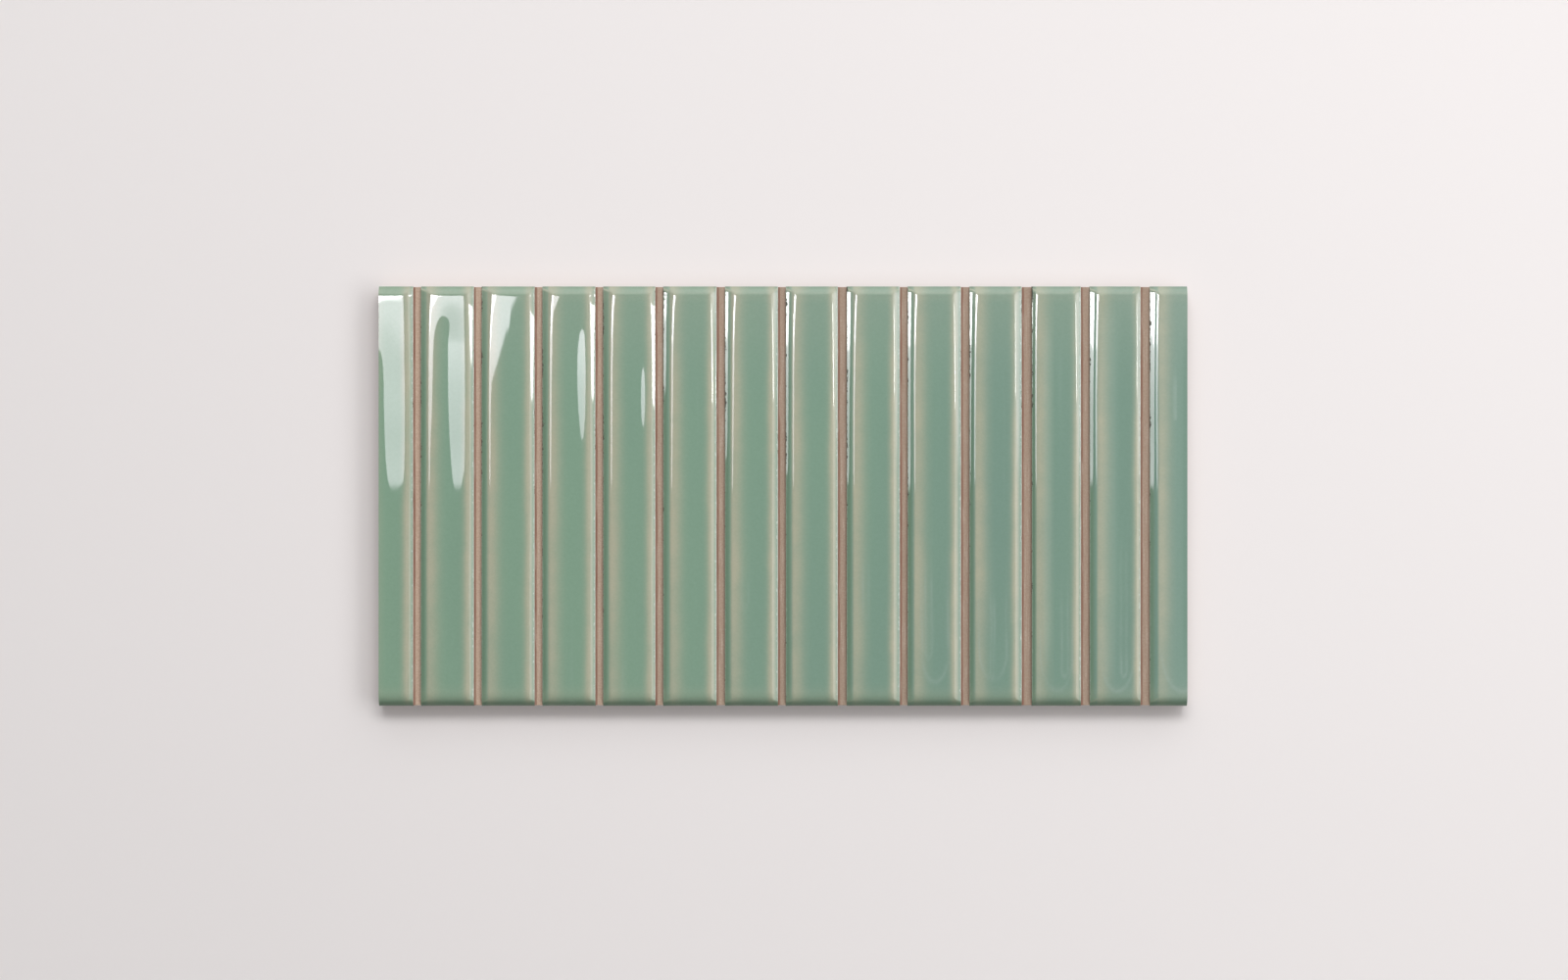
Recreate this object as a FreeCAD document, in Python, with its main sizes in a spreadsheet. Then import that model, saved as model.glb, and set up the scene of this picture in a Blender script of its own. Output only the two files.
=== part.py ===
import FreeCAD, Part
import math
import os
import Sketcher

# A pressed and glazed wall tile, in millimetres. Its face is a row of raised bars parted by narrow grooves.
# Each bar is slightly dished, with a rounded ridge along both sides and a bevel down to the groove. The bars run
# along Y and follow each other along X. Both ends of the tile are sawn plain through a bar.
# The origin is the middle of the sawn tile on the plane of the back's rib crests, and the glazed face looks up.

# Every size that can be set by itself: its name, its value and what it measures.
sizeTable = (
    ("barCount", 14, "bars in the row before the ends are sawn"),
    ("barPitch", 16.65, "from the middle of one groove to the next"),
    ("grooveWidth", 2.1, "bare floor between two bars"),
    ("tileWidth", 115.0, "along the bars"),
    ("leftTrim", 5.15, "sawn off the first bar"),
    ("rightTrim", 4.35, "sawn off the last bar"),
    ("slabThickness", 7.3, "from the rib crests of the back to the groove floors"),
    ("wallHeight", 0.65, "upright side of a groove, below the bevel"),
    ("bevelHeight", 0.55, "from the foot of a side bevel to the ridge"),
    ("sideBevelWidth", 2.8, "from the groove's side to the ridge"),
    ("sideRidgeRadius", 5.0, "rounding of the ridges along a bar's sides"),
    ("endBevelWidth", 2.3, "from the end of a bar to its ridge"),
    ("endBevelDrop", 1.1, "from the ridge down to the foot of an end bevel"),
    ("endRidgeRadius", 2.0, "rounding of the ridges across a bar's ends"),
    ("dishDepth", 0.12, "how far a bar's middle lies below its ridges"),
    ("channelCount", 10, "channels between the ribs of the back, an even number so that a rib is in the middle"),
    ("channelPitch", 11.2, "from one channel of the back to the next"),
    ("channelWidth", 7.0, "mouth of a channel"),
    ("channelDepth", 0.6, "height of the ribs"),
    ("channelLean", 0.5, "how far a channel's side leans in on its way to the floor"),
    ("sawOverrun", 1.0, "how far a cut runs past the clay"),
)
size = {alias: value for alias, value, meaning in sizeTable}

# Sizes that follow from the others, as the formulas that the document uses.
rowLength = "(Sizes.barCount * Sizes.barPitch - Sizes.grooveWidth)"
rowShift = "((Sizes.rightTrim - Sizes.leftTrim) / 2)"
tileLength = "(" + rowLength + " - Sizes.leftTrim - Sizes.rightTrim)"
faceHeight = "(Sizes.slabThickness + Sizes.wallHeight + Sizes.bevelHeight)"
barWidth = "(Sizes.barPitch - Sizes.grooveWidth)"
ridgeGap = "(" + barWidth + " - 2 * Sizes.sideBevelWidth)"

# How a sketch constraint numbers the places on an edge, and the sketch's origin.
placeCodes = {"start": 1, "end": 2, "middle": 3}
origin = (-1, "start")


def point(across, up):
    return FreeCAD.Vector(across, up, 0)


def makeSheet(document):
    sheet = document.addObject("Spreadsheet::Sheet", "Sizes")
    for row, (alias, value, meaning) in enumerate(sizeTable, start=1):
        sheet.set("A%d" % row, alias)
        sheet.set("B%d" % row, str(value))
        sheet.set("C%d" % row, meaning)
        sheet.setAlias("B%d" % row, alias)
    document.recompute()


def makeSketch(body, name, role):
    sketch = body.newObject("Sketcher::SketchObject", name)
    plane = next(item for item in body.Origin.OriginFeatures if item.Role == role)
    sketch.AttachmentSupport = [(plane, "")]
    sketch.MapMode = "FlatFace"
    return sketch


def constrain(sketch, *parts):
    coded = [placeCodes.get(part, part) for part in parts]
    return sketch.addConstraint(Sketcher.Constraint(*coded))


def placeOf(sketch, edge, place):
    return sketch.getPoint(edge, placeCodes[place])


def bind(sketch, name, formula, *parts):
    index = constrain(sketch, *parts)
    sketch.renameConstraint(index, name)
    sketch.setExpression("Constraints." + name, formula)


# Ties the distance between two points of a sketch, along its first or second axis, to a formula.
def bindAcross(sketch, name, formula, first, second):
    gap = placeOf(sketch, *second).x - placeOf(sketch, *first).x
    bind(sketch, name, formula, "DistanceX", *first, *second, gap)


def bindUp(sketch, name, formula, first, second):
    gap = placeOf(sketch, *second).y - placeOf(sketch, *first).y
    bind(sketch, name, formula, "DistanceY", *first, *second, gap)


# Adds straight edges from point to point. A closed outline joins its last edge to its first.
def addOutline(sketch, points, closed=True):
    followers = points[1:] + points[:1] if closed else points[1:]
    edges = [sketch.addGeometry(Part.LineSegment(a, b)) for a, b in zip(points, followers)]
    joined = zip(edges, edges[1:] + edges[:1]) if closed else zip(edges, edges[1:])
    for edge, follower in joined:
        constrain(sketch, "Coincident", edge, "end", follower, "start")
    return edges


# A rectangle whose edges run right, up, left and down from its lower left corner.
def addRectangle(sketch, low, high):
    corners = [low, point(high.x, low.y), high, point(low.x, high.y)]
    edges = addOutline(sketch, corners)
    for edge, direction in zip(edges, ("Horizontal", "Vertical", "Horizontal", "Vertical")):
        constrain(sketch, direction, edge)
    return edges


# Where a line from the foot at (0, 0) touches the ridge's arc from above. The ridge is width away and height up,
# and the arc's centre is right under it.
def touchPoint(width, height, radius):
    below = height - radius
    reach = math.hypot(width, below)
    lean = math.atan2(below, width) + math.asin(radius / reach)
    run = math.sqrt(reach**2 - radius**2)
    return run * math.cos(lean), run * math.sin(lean)


# The slab under the bars, from the back's rib crests to the groove floors.
def addSlab(body):
    sketch = makeSketch(body, "slabOutline", "XY_Plane")
    length = size["barCount"] * size["barPitch"] - size["grooveWidth"]
    shift = (size["rightTrim"] - size["leftTrim"]) / 2
    low = point(shift - length / 2, -size["tileWidth"] / 2)
    high = point(shift + length / 2, size["tileWidth"] / 2)
    bottom, right, top, left = addRectangle(sketch, low, high)
    bindAcross(sketch, "length", rowLength, (bottom, "start"), (bottom, "end"))
    bindAcross(sketch, "leftReach", rowLength + " / 2 - " + rowShift, (bottom, "start"), origin)
    bindUp(sketch, "width", "Sizes.tileWidth", (right, "start"), (right, "end"))
    bindUp(sketch, "nearReach", "Sizes.tileWidth / 2", (bottom, "start"), origin)
    slab = body.newObject("PartDesign::Pad", "slab")
    slab.Profile = sketch
    slab.setExpression("Length", "Sizes.slabThickness")
    return slab


# Keying channels along the whole back, with sides that lean in so that the tile left its press.
def addChannels(body):
    sketch = makeSketch(body, "channelSection", "YZ_Plane")
    middleAt = -(size["channelCount"] - 1) * size["channelPitch"] / 2
    halfMouth = size["channelWidth"] / 2
    halfFloor = halfMouth - size["channelLean"]
    depth = size["channelDepth"]
    below = -size["sawOverrun"]
    corners = [
        point(middleAt - halfMouth, below),
        point(middleAt + halfMouth, below),
        point(middleAt + halfMouth, 0),
        point(middleAt + halfFloor, depth),
        point(middleAt - halfFloor, depth),
        point(middleAt - halfMouth, 0),
    ]
    bottom, rightDrop, rightLean, floor, leftLean, leftDrop = addOutline(sketch, corners)
    for edge in (bottom, floor):
        constrain(sketch, "Horizontal", edge)
    for edge in (rightDrop, leftDrop):
        constrain(sketch, "Vertical", edge)
    constrain(sketch, "Horizontal", rightLean, "start", leftLean, "end")
    firstMouth = "(Sizes.channelCount - 1) * Sizes.channelPitch / 2 + Sizes.channelWidth / 2"
    bindAcross(sketch, "reach", firstMouth, (bottom, "start"), origin)
    bindAcross(sketch, "mouth", "Sizes.channelWidth", (bottom, "start"), (bottom, "end"))
    bindAcross(sketch, "rightLean", "Sizes.channelLean", (rightLean, "end"), (rightLean, "start"))
    bindAcross(sketch, "leftLean", "Sizes.channelLean", (leftLean, "end"), (leftLean, "start"))
    bindUp(sketch, "overrun", "Sizes.sawOverrun", (bottom, "end"), origin)
    bindUp(sketch, "crest", "Sizes.sawOverrun", (bottom, "end"), (rightLean, "start"))
    bindUp(sketch, "depth", "Sizes.channelDepth", (rightLean, "start"), (rightLean, "end"))
    channel = body.newObject("PartDesign::Pocket", "channel")
    channel.Profile = sketch
    channel.SideType = "Symmetric"
    channel.setExpression("Length", rowLength + " * 2")
    channels = body.newObject("PartDesign::LinearPattern", "channels")
    channels.Originals = [channel]
    channels.Direction = (sketch, ["H_Axis"])
    channels.Mode = "Spacing"
    channels.setExpression("Offset", "Sizes.channelPitch")
    channels.setExpression("Occurrences", "Sizes.channelCount")
    body.Tip = channels
    return channels


# The section of the first bar: walls, bevels, ridges and the dish between them. Both halves are alike.
def drawBarSection(sketch):
    width = size["barPitch"] - size["grooveWidth"]
    shift = (size["rightTrim"] - size["leftTrim"]) / 2
    centre = shift - (size["barCount"] - 1) * size["barPitch"] / 2
    floor = size["slabThickness"]
    foot = floor + size["wallHeight"]
    face = foot + size["bevelHeight"]
    radius = size["sideRidgeRadius"]
    ridge = width / 2 - size["sideBevelWidth"]
    inset, rise = touchPoint(size["sideBevelWidth"], size["bevelHeight"], radius)
    dishRadius = ridge**2 / (2 * size["dishDepth"]) + size["dishDepth"] / 2

    # The open run of straight edges up the right side, over the floor line, and up the left side.
    points = [
        point(centre - width / 2 + inset, foot + rise),
        point(centre - width / 2, foot),
        point(centre - width / 2, floor),
        point(centre + width / 2, floor),
        point(centre + width / 2, foot),
        point(centre + width / 2 - inset, foot + rise),
    ]
    leftBevel, leftWall, base, rightWall, rightBevel = addOutline(sketch, points, closed=False)

    # Three arcs close the outline over the top: right ridge, dish and left ridge.
    touch = math.atan2(foot + rise - (face - radius), width / 2 - inset - ridge)
    rightCircle = Part.Circle(point(centre + ridge, face - radius), FreeCAD.Vector(0, 0, 1), radius)
    rightRidge = sketch.addGeometry(Part.ArcOfCircle(rightCircle, touch, math.pi / 2))
    leftCircle = Part.Circle(point(centre - ridge, face - radius), FreeCAD.Vector(0, 0, 1), radius)
    leftRidge = sketch.addGeometry(Part.ArcOfCircle(leftCircle, math.pi / 2, math.pi - touch))
    sweep = math.asin(ridge / dishRadius)
    dishMiddle = point(centre, face - size["dishDepth"] + dishRadius)
    dishCircle = Part.Circle(dishMiddle, FreeCAD.Vector(0, 0, 1), dishRadius)
    dish = sketch.addGeometry(Part.ArcOfCircle(dishCircle, -math.pi / 2 - sweep, -math.pi / 2 + sweep))

    constrain(sketch, "Tangent", rightBevel, "end", rightRidge, "start")
    constrain(sketch, "Coincident", rightRidge, "end", dish, "end")
    constrain(sketch, "Coincident", dish, "start", leftRidge, "start")
    constrain(sketch, "Tangent", leftRidge, "end", leftBevel, "start")
    constrain(sketch, "Horizontal", base)
    constrain(sketch, "Vertical", leftWall)
    constrain(sketch, "Vertical", rightWall)
    constrain(sketch, "Equal", leftWall, rightWall)
    constrain(sketch, "Equal", leftRidge, rightRidge)
    constrain(sketch, "Vertical", rightRidge, "middle", rightRidge, "end")
    constrain(sketch, "Vertical", leftRidge, "middle", leftRidge, "start")
    constrain(sketch, "Horizontal", rightRidge, "end", leftRidge, "start")

    reach = "(Sizes.barCount * Sizes.barPitch - Sizes.grooveWidth) / 2 - " + rowShift
    bindAcross(sketch, "reach", reach, (base, "start"), origin)
    bindUp(sketch, "floor", "Sizes.slabThickness", origin, (base, "start"))
    bindAcross(sketch, "width", barWidth, (base, "start"), (base, "end"))
    bindUp(sketch, "wall", "Sizes.wallHeight", (rightWall, "start"), (rightWall, "end"))
    bindUp(sketch, "bevelHeight", "Sizes.bevelHeight", (rightWall, "end"), (rightRidge, "end"))
    bindAcross(sketch, "bevelWidth", "Sizes.sideBevelWidth", (rightRidge, "end"), (rightWall, "end"))
    bindAcross(sketch, "ridgeGap", ridgeGap, (leftRidge, "start"), (rightRidge, "end"))
    bind(sketch, "ridgeRadius", "Sizes.sideRidgeRadius", "Radius", rightRidge, radius)
    dishFormula = ridgeGap + " ^ 2 / (8 * Sizes.dishDepth) + Sizes.dishDepth / 2"
    bind(sketch, "dishRadius", dishFormula, "Radius", dish, dishRadius)


# The row of bars, all from one section along the tile's width.
def addBars(body):
    sketch = makeSketch(body, "barSection", "XZ_Plane")
    drawBarSection(sketch)
    bar = body.newObject("PartDesign::Pad", "bar")
    bar.Profile = sketch
    bar.SideType = "Symmetric"
    bar.setExpression("Length", "Sizes.tileWidth")
    bars = body.newObject("PartDesign::LinearPattern", "bars")
    bars.Originals = [bar]
    bars.Direction = (sketch, ["H_Axis"])
    bars.Mode = "Spacing"
    bars.setExpression("Offset", "Sizes.barPitch")
    bars.setExpression("Occurrences", "Sizes.barCount")
    body.Tip = bars
    return bars


# Cuts the bevel across the far ends of all the bars, and its mirror image across the near ends.
def addEndBevels(body):
    sketch = makeSketch(body, "endBevelSection", "YZ_Plane")
    side = size["tileWidth"] / 2
    face = size["slabThickness"] + size["wallHeight"] + size["bevelHeight"]
    foot = face - size["endBevelDrop"]
    ridge = side - size["endBevelWidth"]
    outer = side + size["sawOverrun"]
    above = face + size["sawOverrun"]
    radius = size["endRidgeRadius"]
    inset, rise = touchPoint(size["endBevelWidth"], size["endBevelDrop"], radius)
    points = [
        point(side - inset, foot + rise),
        point(side, foot),
        point(outer, foot),
        point(outer, above),
        point(ridge, above),
        point(ridge, face),
    ]
    bevel, ledge, outerEdge, topEdge, innerEdge = addOutline(sketch, points, closed=False)
    touch = math.atan2(foot + rise - (face - radius), side - inset - ridge)
    circle = Part.Circle(point(ridge, face - radius), FreeCAD.Vector(0, 0, 1), radius)
    arc = sketch.addGeometry(Part.ArcOfCircle(circle, touch, math.pi / 2))
    constrain(sketch, "Tangent", bevel, "start", arc, "start")
    constrain(sketch, "Coincident", innerEdge, "end", arc, "end")
    constrain(sketch, "Vertical", arc, "middle", arc, "end")
    for edge in (ledge, topEdge):
        constrain(sketch, "Horizontal", edge)
    for edge in (outerEdge, innerEdge):
        constrain(sketch, "Vertical", edge)
    bindAcross(sketch, "side", "Sizes.tileWidth / 2", origin, (bevel, "end"))
    bindAcross(sketch, "width", "Sizes.endBevelWidth", (arc, "end"), (bevel, "end"))
    bindUp(sketch, "face", faceHeight, origin, (arc, "end"))
    bindUp(sketch, "drop", "Sizes.endBevelDrop", (bevel, "end"), (arc, "end"))
    bindAcross(sketch, "sideOverrun", "Sizes.sawOverrun", (ledge, "start"), (ledge, "end"))
    bindUp(sketch, "topOverrun", "Sizes.sawOverrun", (arc, "end"), (topEdge, "end"))
    bind(sketch, "ridgeRadius", "Sizes.endRidgeRadius", "Radius", arc, radius)

    farBevel = body.newObject("PartDesign::Pocket", "farBevel")
    farBevel.Profile = sketch
    farBevel.SideType = "Symmetric"
    farBevel.setExpression("Length", rowLength + " * 2")
    bevels = body.newObject("PartDesign::Mirrored", "endBevels")
    bevels.Originals = [farBevel]
    bevels.MirrorPlane = (sketch, ["V_Axis"])
    body.Tip = bevels
    return bevels


# Saws both ends plain, straight through the first and the last bar.
def addSawCuts(body):
    sketch = makeSketch(body, "sawCuts", "XY_Plane")
    over = size["sawOverrun"]
    far = size["tileWidth"] / 2 + over
    length = size["barCount"] * size["barPitch"] - size["grooveWidth"]
    length -= size["leftTrim"] + size["rightTrim"]
    leftLow = point(-length / 2 - size["leftTrim"] - over, -far)
    leftHigh = point(-length / 2, far)
    rightLow = point(length / 2, -far)
    rightHigh = point(length / 2 + size["rightTrim"] + over, far)
    bottom, inner, top, outer = addRectangle(sketch, leftLow, leftHigh)
    bindAcross(sketch, "leftEnd", tileLength + " / 2", (bottom, "end"), origin)
    bindAcross(sketch, "leftTrim", "Sizes.leftTrim + Sizes.sawOverrun", (bottom, "start"), (bottom, "end"))
    bindUp(sketch, "leftNear", "Sizes.tileWidth / 2 + Sizes.sawOverrun", (bottom, "end"), origin)
    bindUp(sketch, "leftSpan", "Sizes.tileWidth + 2 * Sizes.sawOverrun", (inner, "start"), (inner, "end"))
    bottom, outer, top, inner = addRectangle(sketch, rightLow, rightHigh)
    bindAcross(sketch, "rightEnd", tileLength + " / 2", origin, (bottom, "start"))
    bindAcross(sketch, "rightTrim", "Sizes.rightTrim + Sizes.sawOverrun", (bottom, "start"), (bottom, "end"))
    bindUp(sketch, "rightNear", "Sizes.tileWidth / 2 + Sizes.sawOverrun", (bottom, "start"), origin)
    bindUp(sketch, "rightSpan", "Sizes.tileWidth + 2 * Sizes.sawOverrun", (outer, "start"), (outer, "end"))
    cuts = body.newObject("PartDesign::Pocket", "endCuts")
    cuts.Profile = sketch
    cuts.SideType = "Symmetric"
    cuts.setExpression("Length", faceHeight + " * 3")
    return cuts


# A cut that pointed away from the clay would leave its volume as it was.
def checkVolumes(steps):
    before = 0.0
    for feature, adds in steps:
        volume = feature.Shape.Volume
        if (volume > before) != adds:
            raise RuntimeError(feature.Label + " didn't change the clay as it should")
        print("%-12s %12.3f cubic mm" % (feature.Label, volume))
        before = volume


def makeTile(document):
    body = document.addObject("PartDesign::Body", "wall_tile")
    body.Label = "wall_tile"
    slab = addSlab(body)
    channels = addChannels(body)
    bars = addBars(body)
    bevels = addEndBevels(body)
    cuts = addSawCuts(body)
    body.Tip = cuts
    body.Placement = FreeCAD.Placement()
    document.recompute()
    checkVolumes([(slab, True), (channels, False), (bars, True), (bevels, False), (cuts, False)])
    return body


def checkDocument(document):
    for item in document.Objects:
        if "Invalid" in item.State or "Error" in item.State:
            raise RuntimeError(item.Label + " failed: " + ", ".join(item.State))


def exportBody(body):
    shape = body.Shape
    if shape.isNull() or not shape.isValid() or len(shape.Solids) != 1:
        raise RuntimeError(body.Label + " isn't one valid solid")
    box = shape.BoundBox
    print("%s: %.3f x %.3f x %.3f mm" % (body.Label, box.XLength, box.YLength, box.ZLength))
    shape.exportStep(os.path.join("parts", body.Label + ".step"))


os.makedirs("parts", exist_ok=True)
document = FreeCAD.newDocument("wallTile")
makeSheet(document)
tile = makeTile(document)
checkDocument(document)
exportBody(tile)
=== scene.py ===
import bpy
import math
import numpy as np
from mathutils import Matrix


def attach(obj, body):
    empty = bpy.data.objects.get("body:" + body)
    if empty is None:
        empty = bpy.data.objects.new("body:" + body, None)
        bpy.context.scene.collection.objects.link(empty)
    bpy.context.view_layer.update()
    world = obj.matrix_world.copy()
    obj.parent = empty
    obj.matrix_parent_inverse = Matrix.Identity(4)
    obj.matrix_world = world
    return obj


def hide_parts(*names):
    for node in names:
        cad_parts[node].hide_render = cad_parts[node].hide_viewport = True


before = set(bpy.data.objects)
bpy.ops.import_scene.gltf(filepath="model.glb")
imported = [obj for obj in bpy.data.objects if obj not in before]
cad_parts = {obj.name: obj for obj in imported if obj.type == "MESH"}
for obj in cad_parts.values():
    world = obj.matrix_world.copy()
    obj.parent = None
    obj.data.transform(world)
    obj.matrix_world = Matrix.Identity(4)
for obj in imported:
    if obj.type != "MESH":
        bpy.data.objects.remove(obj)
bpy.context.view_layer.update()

# A glazed wall tile with a row of raised bars. Lengths are in millimetres until a mesh is made. X runs
# across the bars, y along them towards the far end, and z up from the back.
metre = 0.001
tile = {"length": 221.5, "width": 115.0}
halfLength = tile["length"] / 2.0
halfWidth = tile["width"] / 2.0
waves = {"count": 5, "spread": (0.85, 1.15), "gain": 1.6}
# The seeds of the wanders on the bars: the first bar's, and the step from each bar to the next.
seeds = {
    "drift": (41, 7),
    "thinWaver": (41, 13),
    "thinPatches": (41, 3),
    "loopLean": (131, 5),
    "loopPatches": (91, 7),
    "lip": (41, 31),
}


# A step from 0 to 1 between two values, level at both ends: 3t^2 - 2t^3.
def smooth(low, high, values):
    t = np.clip((values - low) / (high - low), 0.0, 1.0)
    return t * t * (3.0 - 2.0 * t)


# Full up to a peak and fading beyond it: exp(-(distance past the peak / reach)^2).
def fading(distance, peak, reach):
    return np.exp(-(np.maximum(distance - peak, 0.0) / reach) ** 2)


# A gentle wander with values near -1 to 1: a sum of sines whose lengths and phases come from a seed.
def wander(values, seed, shortest, longest):
    chance = np.random.default_rng(seed)
    count = waves["count"]
    lengths = np.geomspace(shortest, longest, count) * chance.uniform(*waves["spread"], count)
    phases = chance.uniform(0.0, 2.0 * math.pi, count)
    heights = np.sqrt(lengths / longest)
    total = sum(h * np.sin(2.0 * math.pi * values / l + p) for h, l, p in zip(heights, lengths, phases))
    return total / heights.sum() * waves["gain"]


def barSeed(kind, k):
    first, step = seeds[kind]
    return first + step * k


# Joins rings of points, all of the same count, into one closed skin with a face over each end.
def skinRings(name, rings, shades, angle, material):
    rowCount, ringCount = rings.shape[:2]
    number = np.arange(rowCount * ringCount).reshape(rowCount, ringCount)
    onward = np.roll(number, -1, axis=1)
    quads = np.stack([number[:-1], onward[:-1], onward[1:], number[1:]], axis=-1).reshape(-1, 4)
    faces = quads.tolist() + [number[0, ::-1].tolist(), number[-1].tolist()]
    mesh = bpy.data.meshes.new(name)
    mesh.from_pydata(rings.reshape(-1, 3) * metre, [], faces)
    for shade, values in shades.items():
        layer = mesh.attributes.new(shade, "FLOAT", "POINT")
        layer.data.foreach_set("value", np.ascontiguousarray(values, dtype=np.float32).ravel())
    mesh.polygons.foreach_set("use_smooth", [True] * len(mesh.polygons))
    mesh.set_sharp_from_angle(angle=math.radians(angle))
    mesh.validate()
    mesh.materials.append(material)
    piece = bpy.data.objects.new(name, mesh)
    bpy.context.collection.objects.link(piece)
    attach(piece, "root")
    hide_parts("wall_tile")


# Wraps a node's socket, so that shader maths reads as plain sums.
class Wire:
    def __init__(self, tree, socket=None):
        self.tree = tree
        self.socket = socket

    # Makes a node. Settings are its own values, and a colour ramp also takes stops, each a place and a
    # colour. Inputs are numbers, colours or wires.
    def add(self, kind, settings, inputs, output=0):
        node = self.tree.nodes.new(kind)
        for name, value in settings.items():
            if name == "stops":
                ramp = node.color_ramp.elements
                while len(ramp) < len(value):
                    ramp.new(0.5)
                for stop, (place, colour) in zip(ramp, value):
                    stop.position = place
                    stop.color = (*colour, 1.0)
            else:
                setattr(node, name, value)
        for name, value in inputs.items():
            if isinstance(value, Wire):
                self.tree.links.new(value.socket, node.inputs[name])
            else:
                node.inputs[name].default_value = value
        return Wire(self.tree, node.outputs[output] if len(node.outputs) else None)

    def maths(self, operation, *values):
        return self.add("ShaderNodeMath", {"operation": operation}, dict(enumerate(values)))

    def __add__(self, other):
        return self.maths("ADD", self, other)

    def __radd__(self, other):
        return self.maths("ADD", other, self)

    def __sub__(self, other):
        return self.maths("SUBTRACT", self, other)

    def __rsub__(self, other):
        return self.maths("SUBTRACT", other, self)

    def __mul__(self, other):
        return self.maths("MULTIPLY", self, other)

    def __rmul__(self, other):
        return self.maths("MULTIPLY", other, self)

    # Rises from 0 at low to 1 at high, or falls where high is below low.
    def step(self, low, high):
        inputs = {"Value": self, "From Min": low, "From Max": high}
        return self.add("ShaderNodeMapRange", {"interpolation_type": "SMOOTHSTEP"}, inputs)

    # Noise whose coordinates are first multiplied along x and y: less than 1 draws it out.
    def noise(self, alongX, alongY, scale, detail, roughness):
        factors = (alongX, alongY, 1.0)
        drawn = self.add("ShaderNodeVectorMath", {"operation": "MULTIPLY"}, {0: self, 1: factors})
        inputs = {"Vector": drawn, "Scale": scale, "Detail": detail, "Roughness": roughness}
        return self.add("ShaderNodeTexNoise", {}, inputs)

    def axis(self, index):
        return self.add("ShaderNodeSeparateXYZ", {}, {0: self}, index)

    def attribute(self, name):
        return self.add("ShaderNodeAttribute", {"attribute_name": name}, {}, "Fac")

    def objectPlace(self):
        return self.add("ShaderNodeTexCoord", {}, {}, "Object")

    def seenByCamera(self):
        return self.add("ShaderNodeLightPath", {}, {}, "Is Camera Ray")

    # Goes from one colour to another by a factor, which is cut to 0 to 1. Either may be a wire or three
    # numbers.
    def blend(self, factor, first, second, kind="MIX"):
        pair = {}
        for place, colour in ((6, first), (7, second)):
            pair[place] = colour if isinstance(colour, Wire) else (*colour, 1.0)
        return self.add("ShaderNodeMix", {"data_type": "RGBA", "blend_type": kind}, {0: factor, **pair}, 2)

    # A bump, on top of another one where it's given.
    def bump(self, height, distance, under=None):
        inputs = {"Height": height, "Distance": distance}
        if under is not None:
            inputs["Normal"] = under
        return self.add("ShaderNodeBump", {}, inputs)

    def surface(self, inputs):
        shader = self.add("ShaderNodeBsdfPrincipled", {}, inputs)
        self.add("ShaderNodeOutputMaterial", {}, {"Surface": shader})


# Empties the node tree of a material, a lamp or the world, and gives a wire to fill it with.
def freshWire(owner):
    owner.use_nodes = True
    owner.node_tree.nodes.clear()
    return Wire(owner.node_tree)


# The fired clay, linear colours. It shows in the grooves, on the sides and on the back. It deepens to the
# right, between two shares of the tile's length from its middle, and a redder line lies along the left wall
# of each groove and ends between two distances from it. Cloud, waver, drags and grain are noises, with
# their factors along x and y, scale, detail and roughness. Limits are the levels of a noise between which
# its mark comes in. Bump is a height in metres, and the other heights and the depth are shares of it.
clay = {
    "pale": (0.505, 0.375, 0.285),
    "deep": (0.355, 0.270, 0.206),
    "deepening": (-0.5, 0.1),
    "cloud": (1.0, 1.0, 90.0, 4.0, 0.55),
    "cloudiness": 0.2,
    "redLine": (0.235, 0.120, 0.085),
    "redLeast": 0.45,
    "redClouds": 0.9,
    "lineEnd": (0.75, 0.35),
    "waver": (1.0, 0.035, 900.0, 2.0, 0.55),
    "waverReach": 0.40,
    "dust": (0.60, 0.51, 0.43),
    "dustiness": 0.35,
    "drags": (1.0, 0.035, 2600.0, 2.0, 0.6),
    "dragLimits": (0.52, 0.72),
    "grain": (1.0, 1.0, 1900.0, 3.0, 0.7),
    "grainLimits": (0.60, 0.42),
    "grainShade": 0.22,
    "grainHeight": 0.6,
    "dragHeight": 0.5,
    "lineDepth": 0.3,
    "bump": 0.00006,
    "roughness": 0.88,
    "specular": 0.3,
}
# A distance from the wall at which the redder line has long ended.
noWall = 9.0


# A place along the tile's length, from -0.5 at its left end to 0.5 at its right end.
def alongTile(place):
    return place.axis(0) * (1.0 / (tile["length"] * metre))


# The clay's colour and height at a place: clouds, grain, drag lines along the grooves and the redder line.
def clayLook(wire, place, fromLeftWall):
    cloud = place.noise(*clay["cloud"])
    grain = place.noise(*clay["grain"])
    drags = place.noise(*clay["drags"])
    waver = (place.noise(*clay["waver"]) - 0.5) * clay["waverReach"]
    deepness = (alongTile(place) + (cloud - 0.5) * clay["cloudiness"]).step(*clay["deepening"])
    colour = wire.blend(deepness, clay["pale"], clay["deep"])
    line = (waver + fromLeftWall).step(*clay["lineEnd"])
    colour = wire.blend(line * (cloud * clay["redClouds"] + clay["redLeast"]), colour, clay["redLine"])
    colour = wire.blend(drags.step(*clay["dragLimits"]) * clay["dustiness"], colour, clay["dust"])
    colour = wire.blend(grain.step(*clay["grainLimits"]) * clay["grainShade"], colour, clay["redLine"])
    height = grain * clay["grainHeight"] + drags * clay["dragHeight"] - line * clay["lineDepth"]
    return colour, height


def makeClayMaterial():
    material = bpy.data.materials.new("fired_clay")
    wire = freshWire(material)
    colour, height = clayLook(wire, wire.objectPlace(), wire.attribute("fromLeftWall"))
    wire.surface({
        "Base Color": colour,
        "Roughness": clay["roughness"],
        "Specular IOR Level": clay["specular"],
        "Normal": wire.bump(height, clay["bump"]),
    })
    return material


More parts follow.
